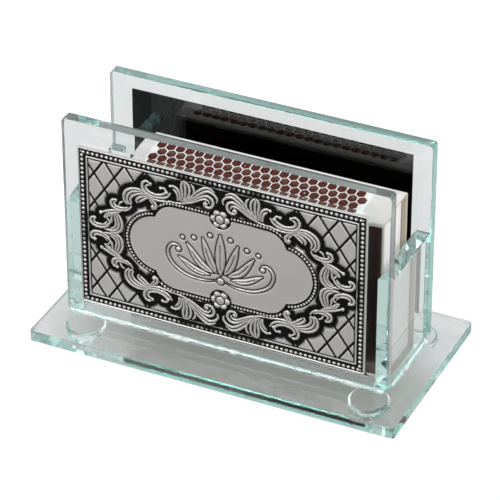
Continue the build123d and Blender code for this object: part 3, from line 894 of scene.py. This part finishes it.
# The sprig's leaves: half width, then points of one half, from the plaque's middle, right and up
sprig_leaves = [
    (1.05, [(0, -3.4), (0, 0.6), (0, 5.4)]),
    (0.85, [(0.9, -3.1), (2.3, -0.6), (3.7, 3.9)]),
    (0.80, [(1.7, -3.3), (4.4, -1.7), (7, 1.9)]),
    (0.68, [(2.4, -4), (5.4, -3.5), (8.8, -1.5)]),
    (0.30, [(0.9, -4.9), (3.6, -5.5), (7.2, -5.2), (10.2, -3.4), (11.2, -0.9), (10.3, 0.9), (8.9, 0.9),
            (8.6, -0.1)]),
]
# Its round buds: radius, then place
sprig_buds = [
    (0.75, (0, -4.9)), (0.50, (2.15, 5)), (0.50, (5.6, 3.6)), (0.45, (8, 3.1)), (0.55, (8.9, 0.1)),
]


def grid_line(length):
    """Places along a length, from its middle, an even number of steps apart."""
    return np.linspace(-length / 2, length / 2, int(length / grid_step) // 2 * 2 + 1)


class Relief:
    """The plaque's heights and patina on a grid, drawn in one quarter and mirrored.

    Each carving adds to it what the later ones keep clear of.
    """

    def __init__(self, length, height):
        self.u, self.v = np.meshgrid(grid_line(length), grid_line(height))
        self.across, self.up = np.abs(self.u), np.abs(self.v)
        # Distances from the nearest corner, along the length and the height, and from the nearest edge
        self.x = length / 2 - self.across
        self.y = height / 2 - self.up
        self.edge = np.minimum(self.x, self.y)
        self.height = np.zeros(self.u.shape)
        self.dark = np.zeros(self.u.shape)

    def lift(self, height):
        """Raise what is lower than a height."""
        self.height = np.maximum(self.height, height)

    def blacken(self, dark):
        """Darken what is lighter than a share of full patina."""
        self.dark = np.maximum(self.dark, dark)

    def bead_row(self, along, offset, pitch, radius, rise):
        """Raise a row of beads, given the way along it and the distance from it, with bright tops."""
        nearest = np.hypot(along - pitch * np.round(along / pitch), offset)
        bead = dome(nearest, radius)
        self.lift(rise * bead)
        clear = smooth_step(self.near_scroll, *wiped_fade)
        wiped = wiped_share * smooth_step(bead, *wiped_dome) * (wiped_least + (1 - wiped_least) * clear)
        self.dark = np.where(nearest < radius * 1.02, self.dark * (1 - wiped), self.dark)


def carve_scrolls(plate):
    """The scrollwork's ridges and knobs, with a seam between neighbours, on blackened ground."""
    plate.near_scroll = np.full(plate.u.shape, far)
    # How far each place is from its nearest and its next ridge, as shares of their half widths
    nearest_ridge = np.full(plate.u.shape, far)
    next_ridge = np.full(plate.u.shape, far)
    for half_width, points in scroll_ridges:
        line = curve_through(points)
        low, high = line.min(0) - ridge_reach, line.max(0) + ridge_reach
        close = (plate.x > low[0]) & (plate.x < high[0]) & (plate.y > low[1]) & (plate.y < high[1])
        gap, along = distance_to_line(plate.x[close], plate.y[close], line)
        width = ridge_spread * half_width * (0.5 + 0.5 * np.sin(pi * np.clip(along, 0.02, 0.98)) ** 0.7)
        ridge = ridge_rise * np.clip(1 - (gap / width) ** 2, 0, 1) ** ridge_bluntness
        ridge = ridge * (0.8 + 0.2 * np.sin(pi * along))
        plate.height[close] = np.maximum(plate.height[close], ridge)
        off_ridge = gap / width
        next_ridge[close] = np.minimum(next_ridge[close], np.maximum(nearest_ridge[close], off_ridge))
        nearest_ridge[close] = np.minimum(nearest_ridge[close], off_ridge)
        plate.near_scroll[close] = np.minimum(plate.near_scroll[close], gap)
    for radius, (knob_x, knob_y) in scroll_knobs:
        gap = np.hypot(plate.x - knob_x, plate.y - knob_y)
        plate.lift(knob_rise * dome(gap, radius))
        plate.near_scroll = np.minimum(plate.near_scroll, gap)
    between = soft_line(next_ridge - nearest_ridge, 0, seam_width)
    plate.seam = between * smooth_step(nearest_ridge, *seam_start) * (nearest_ridge < seam_end)
    plate.height = plate.height * (1 - seam_depth * plate.seam)
    plate.blacken(1 - smooth_step(plate.near_scroll, *ground_fade))


def carve_cartouche(plate):
    """The plain middle, a rounded oblong with a round lobe at each end, with a dark channel round it."""
    qx = plate.across - (oblong_half_length - oblong_corner)
    qy = plate.up - (oblong_half_height - oblong_corner)
    outside = np.hypot(np.maximum(qx, 0), np.maximum(qy, 0))
    # Distances from the oblong, a lobe and the whole outline, negative inside
    plate.oblong = outside + np.minimum(np.maximum(qx, qy), 0) - oblong_corner
    plate.lobe = np.hypot(plate.across - lobe_middle, plate.up) - lobe_radius
    plate.cartouche = np.minimum(plate.oblong, plate.lobe)
    plate.height[plate.cartouche < cartouche_clear] = 0
    plate.dark[plate.cartouche < 0] = 0
    plate.lift(rim_rise * soft_line(plate.cartouche, *rim_line))
    plate.lift(outer_rise * soft_line(plate.cartouche, *outer_line) * (plate.near_scroll > 0.5))
    plate.blacken(band(plate.cartouche, channel_start, channel_end))


def carve_sprig(plate):
    """Raised leaves with dark outlines and a groove down each, and round buds."""
    near_leaf = np.full(plate.u.shape, far)
    vein = np.zeros(plate.u.shape)
    for half_width, points in sprig_leaves:
        gap, along = distance_to_line(plate.across, plate.v, curve_through(points))
        width = half_width * np.sin(pi * np.clip(along, 0.03, 0.97)) ** 0.6
        near_leaf = np.minimum(near_leaf, gap - width)
        if half_width > veined_leaf:
            on_vein = (along > vein_ends[0]) & (along < vein_ends[1])
            vein = np.maximum(vein, (1 - smooth_step(gap, *vein_sides)) * on_vein)
    for radius, (bud_u, bud_v) in sprig_buds:
        near_leaf = np.minimum(near_leaf, np.hypot(plate.across - bud_u, plate.v - bud_v) - radius)
    plate.lift(sprig_rise * (1 - smooth_step(near_leaf, *sprig_sides)) * (1 - 0.8 * vein))
    plate.blacken(np.maximum(soft_line(near_leaf, *sprig_outline), 0.9 * vein * (near_leaf < 0)))


def carve_border(plate):
    """The beaded channel round the edge, with a rim outside it and a raised and a dark line inside."""
    frame_share = soft_line(plate.edge, *frame_line)
    plate.blacken(band(plate.edge, border_start, border_end))
    plate.blacken(soft_line(plate.edge, *inner_line))
    plate.height[plate.edge < border_end[0]] = 0
    plate.lift(frame_rise * frame_share)
    plate.dark = plate.dark * (1 - 0.5 * frame_share * (plate.near_scroll > 0.4))
    plate.height[plate.edge < border_rim] = border_rim_rise
    along = np.where(plate.y <= plate.x, plate.u, plate.v)
    plate.bead_row(along, plate.edge - border_inset, *border_beads)


def carve_lattice(plate):
    """Crossed dark grooves in the corner fields, clear of the scrollwork."""
    along = (plate.x - lattice_origin[0]) / lattice_pitch[0]
    upward = (plate.y - lattice_origin[1]) / lattice_pitch[1]
    grooves = np.zeros(plate.u.shape)
    for turns in (along + upward, along - upward):
        gap = np.abs(turns - np.round(turns)) * lattice_pitch[0] * lattice_slant
        grooves = np.maximum(grooves, 1 - smooth_step(gap, *lattice_sides))
    field = (plate.x < lattice_length) & (plate.x + 1.2 * plate.y < lattice_corner)
    for distance, clear in zip((plate.edge, plate.cartouche, plate.near_scroll), lattice_clear):
        field = field & (distance > clear)
    plate.blacken(grooves * field)


def bead_cartouche(plate):
    """Beads in the cartouche's channel, round each lobe and along the top and bottom."""
    angle = np.arctan2(plate.up, plate.across - lobe_middle)
    on_lobe = (plate.lobe < plate.oblong) & (angle < lobe_row_angle) & (plate.across > lobe_row_from)
    off_row = np.where(on_lobe, plate.lobe - lobe_offset, far)
    plate.bead_row(angle * (lobe_radius + lobe_offset), off_row, *lobe_beads)
    on_top = (plate.across < lobe_middle) & (plate.across > top_row_from) & (plate.up > top_row_above)
    off_row = np.where(on_top, plate.oblong - top_offset, far)
    plate.bead_row(plate.across - top_row_from, off_row, *top_beads)


def carve_rosettes(plate):
    """A six-petalled rosette with a round eye at the cartouche's top and bottom."""
    upward = plate.up - oblong_half_height
    reach = np.hypot(plate.across, upward)
    turn = np.abs(np.cos(np.arctan2(upward, plate.across) * 3))
    petals = smooth_step(petal_root + petal_length * turn ** 0.7 - reach, 0.0, 0.3)
    crease = 0.3 + 0.7 * turn ** 0.5
    cup = 0.35 + 0.65 * smooth_step(reach, 0.85, 1.35)
    eye = eye_rise * dome(reach, eye_radius, 4)
    plate.in_rosette = reach < rosette_reach
    rosette = np.maximum(petal_rise * petals * crease * cup, eye)
    plate.height = np.where(plate.in_rosette, rosette, plate.height)
    black = np.where(reach < 1.2, 0.15, np.clip(1 - petals * crease * 1.4, 0, 1))
    black = np.maximum(0.8 * soft_line(reach, *eye_outline), black)
    plate.blacken((1 - smooth_step(reach, *rosette_halo)) * (plate.cartouche >= 0))
    plate.dark = np.where(plate.in_rosette, black, plate.dark)


def worn_patina(plate, surface):
    """The patina that is left: lifted from raised work, but not from its creases, and full elsewhere."""
    blurred = surface.copy()
    for _ in range(patina_blurs):
        padded = np.pad(blurred, 1, mode="edge")
        beside = padded[1:-1, :-2] + padded[1:-1, 2:] + padded[:-2, 1:-1] + padded[2:, 1:-1]
        blurred = (beside + padded[1:-1, 1:-1]) / 5
    proud = surface - blurred
    lifted = smooth_step(plate.height, *lifted_heights)
    creased = np.clip(plain_patina - proud_gain * proud, *patina_limits)
    patina = np.maximum(plate.dark * (1 - lifted), lifted * creased)
    seamless = (plate.cartouche < 0) | plate.in_rosette
    patina = np.where(seamless, patina, np.maximum(patina, plate.seam))
    patina = np.where(plate.edge < border_end[0], plate.dark, patina)
    return np.clip(patina, 0, 1)


def relief_solid(plate, surface, low, high):
    """A closed mesh's vertices and faces, those in front first, and the number of faces in front."""
    wide = plate.u.shape[1]
    px = (plate.u + (low[0] + high[0]) / 2) * mm
    py = (low[1] + ground_depth - surface) * mm
    pz = (plate.v + (low[2] + high[2]) / 2) * mm
    front = np.stack([px, py, pz], -1).reshape(-1, 3)
    index = np.arange(len(front)).reshape(px.shape)
    quads = index[:-1, :-1].reshape(-1, 1) + np.array([0, 1, wide + 1, wide])
    outline = np.concatenate([index[0, :-1], index[:-1, -1], index[-1, :0:-1], index[:0:-1, 0]])
    back = front[outline].copy()
    back[:, 1] = high[1] * mm
    ring = np.arange(len(front), len(front) + len(outline))
    sides = np.stack([outline, ring, np.roll(ring, -1), np.roll(outline, -1)], -1)
    faces = quads.tolist() + sides.tolist() + [ring[::-1].tolist()]
    return np.concatenate([front, back]).tolist(), faces, len(quads)


def build_plaque():
    """The embossed plaque: the relief in front, straight sides and a flat back."""
    low, high = (np.array(corner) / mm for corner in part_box("plaque"))
    plate = Relief(high[0] - low[0], high[2] - low[2])
    carvings = [carve_scrolls, carve_cartouche, carve_sprig, carve_border, carve_lattice]
    for carve in carvings + [bead_cartouche, carve_rosettes]:
        carve(plate)
    surface = plate.height - etched_depth * np.where(plate.height > 0.02, 0, plate.dark)
    vertices, faces, front_count = relief_solid(plate, surface, low, high)
    plaque = mesh_object("plaque_relief", vertices, faces)
    smooth = np.arange(len(plaque.data.polygons)) < front_count
    plaque.data.polygons.foreach_set("use_smooth", smooth)
    patina = np.zeros(len(vertices), np.float32)
    patina[: plate.u.size] = worn_patina(plate, surface).ravel()
    attribute = plaque.data.attributes.new("patina", "FLOAT", "POINT")
    attribute.data.foreach_set("value", patina)
    plaque.data.materials.append(silver())
    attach(plaque, "holder")
    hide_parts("plaque")


make_studio()

build_glass()
build_standing_off()
build_feet()
dress("matchbox_sleeve", printed_card())
dress("front_label", dark_label())
dress("striker_top", striker_coat("striker_top", raised_share))
dress("striker_bottom", striker_coat("striker_bottom", hexagon_share))
dress("match_tray", tray_card())
dress("match_sticks", match_wood())
dress("match_heads", match_head())
build_plaque()
